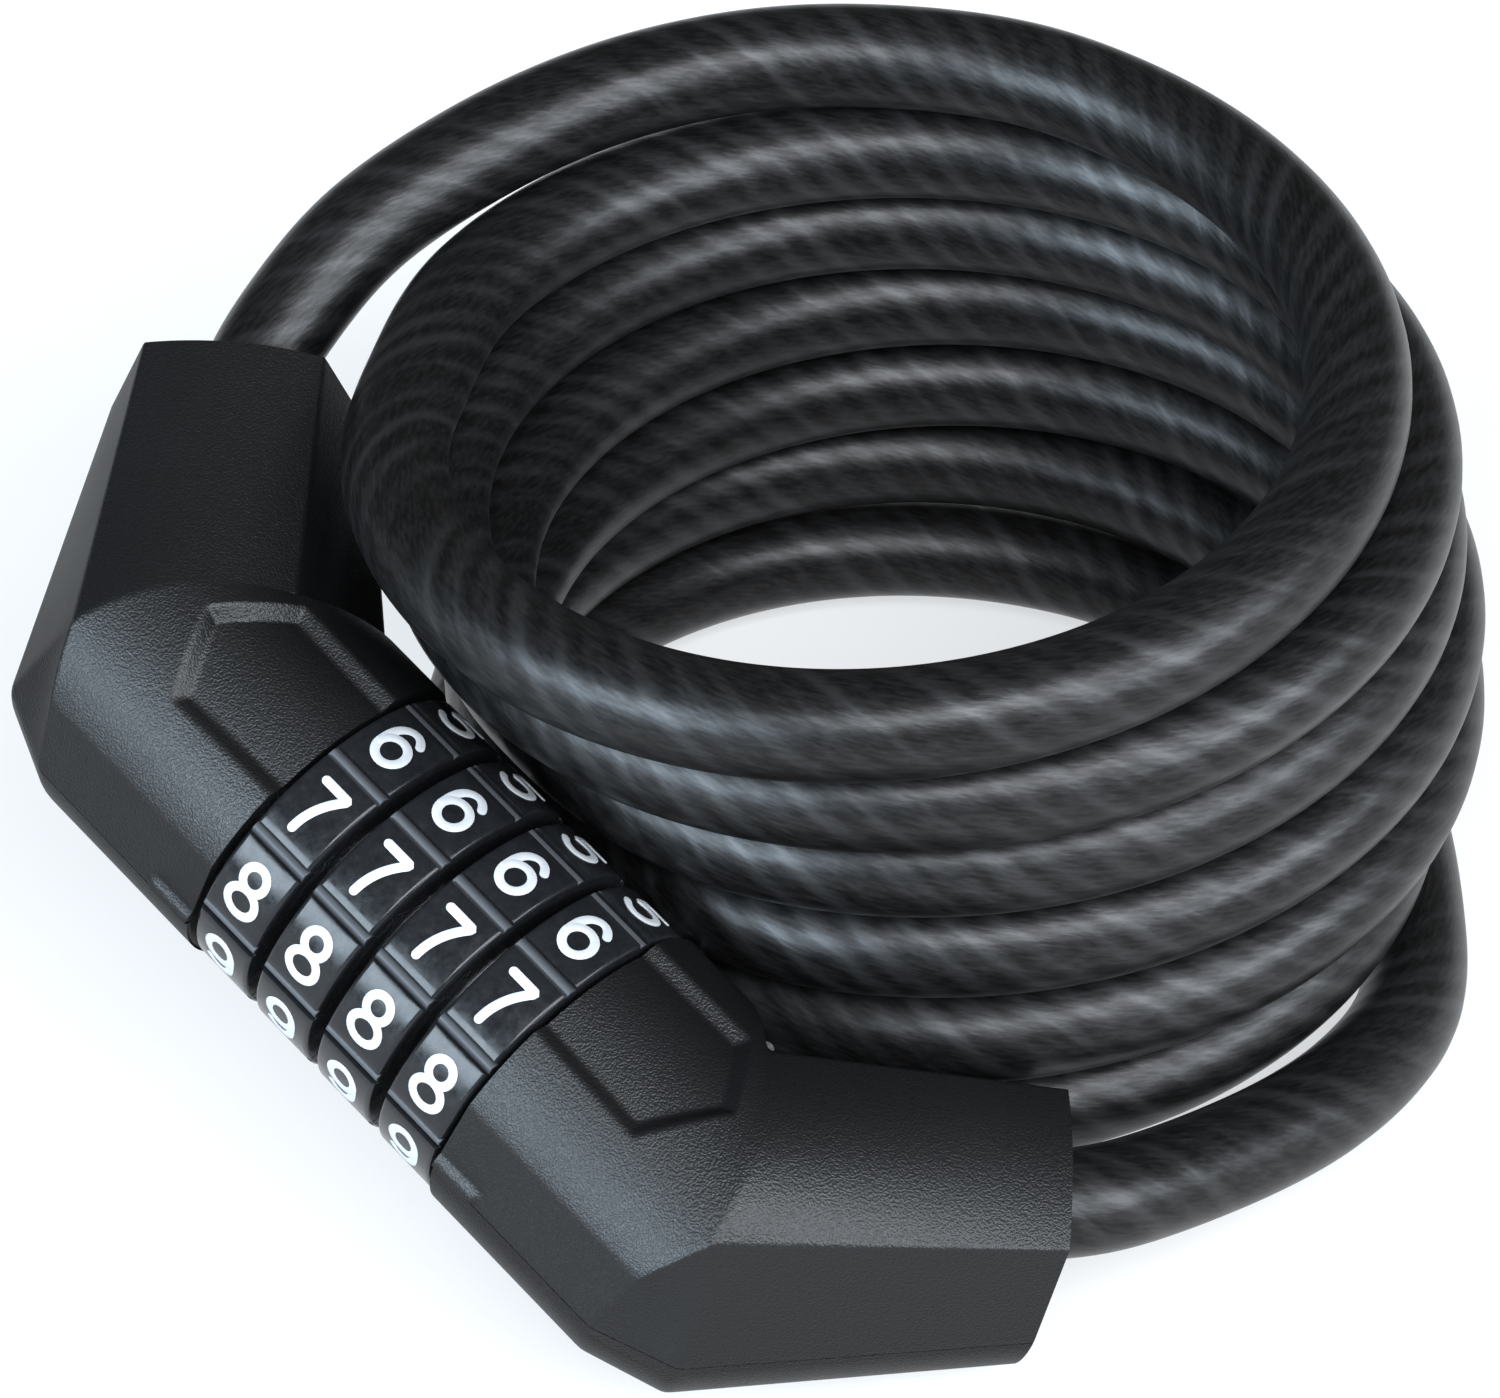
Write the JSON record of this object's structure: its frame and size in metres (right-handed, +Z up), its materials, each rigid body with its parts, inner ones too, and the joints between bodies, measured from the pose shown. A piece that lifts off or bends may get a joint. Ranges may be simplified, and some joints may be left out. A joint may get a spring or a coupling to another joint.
{
  "type": "cable lock",
  "caption": "Self-coiling steel cable lock with a number-dial combination head, its two bent housings joined by a sliding bolt.",
  "frame": {"origin": "on the floor under the middle of the lock head's bounding box", "axes": "+Z up from the surface the lock stands on, +X to the right and +Y away from the viewer in front of the head; the dial axis slopes down towards +X and -Y"},
  "size_m": [0.139, 0.1321, 0.0739],
  "materials": {
    "housing_plastic": "matte, finely grained",
    "dial_plastic": "glossy, with white numbers",
    "cable_jacket": "satin, smoky translucent vinyl over twisted steel strands",
    "cast_zinc": "cast zinc",
    "steel": "plated",
    "spring_steel": "blued spring steel"
  },
  "bodies": {
    "lock_body": {"body_front_shell": "housing_plastic", "body_back_shell": "housing_plastic", "body_screw_1": "steel", "body_screw_2": "steel", "body_ferrule": "cast_zinc", "body_cross_pin": "steel", "dial_core": "cast_zinc", "core_clip": "spring_steel", "detent_spring": "spring_steel", "cable_coil": "cable_jacket", "cable_lead_lower": "cable_jacket"},
    "dial_1": {"number_ring_1": "dial_plastic", "code_sleeve_1": "cast_zinc"},
    "dial_2": {"number_ring_2": "dial_plastic", "code_sleeve_2": "cast_zinc"},
    "dial_3": {"number_ring_3": "dial_plastic", "code_sleeve_3": "cast_zinc"},
    "dial_4": {"number_ring_4": "dial_plastic", "code_sleeve_4": "cast_zinc"},
    "plug": {"plug_front_shell": "housing_plastic", "plug_back_shell": "housing_plastic", "plug_screw_1": "steel", "plug_screw_2": "steel", "plug_ferrule": "cast_zinc", "plug_cross_pin": "steel", "locking_bolt": "steel", "cable_lead_upper": "cable_jacket"}
  },
  "joints": [
    {"name": "dial_1_turn", "type": "hinge", "parent": "lock_body", "child": "dial_1", "pos_m": [-0.0167, -0.00035, 0.03505], "axis": [0.6824, -0.6544, -0.3256], "continuous": true},
    {"name": "dial_2_turn", "type": "hinge", "parent": "lock_body", "child": "dial_2", "pos_m": [-0.01103, -0.00578, 0.03235], "axis": [0.6824, -0.6544, -0.3256], "continuous": true},
    {"name": "dial_3_turn", "type": "hinge", "parent": "lock_body", "child": "dial_3", "pos_m": [-0.00537, -0.01122, 0.02965], "axis": [0.6824, -0.6544, -0.3256], "continuous": true},
    {"name": "dial_4_turn", "type": "hinge", "parent": "lock_body", "child": "dial_4", "pos_m": [0.0003, -0.01665, 0.02695], "axis": [0.6824, -0.6544, -0.3256], "continuous": true},
    {"name": "plug_pull", "type": "slide", "parent": "lock_body", "child": "plug", "axis": [-0.6824, 0.6544, 0.3256], "range_m": [0, 0.042]}
  ]
}
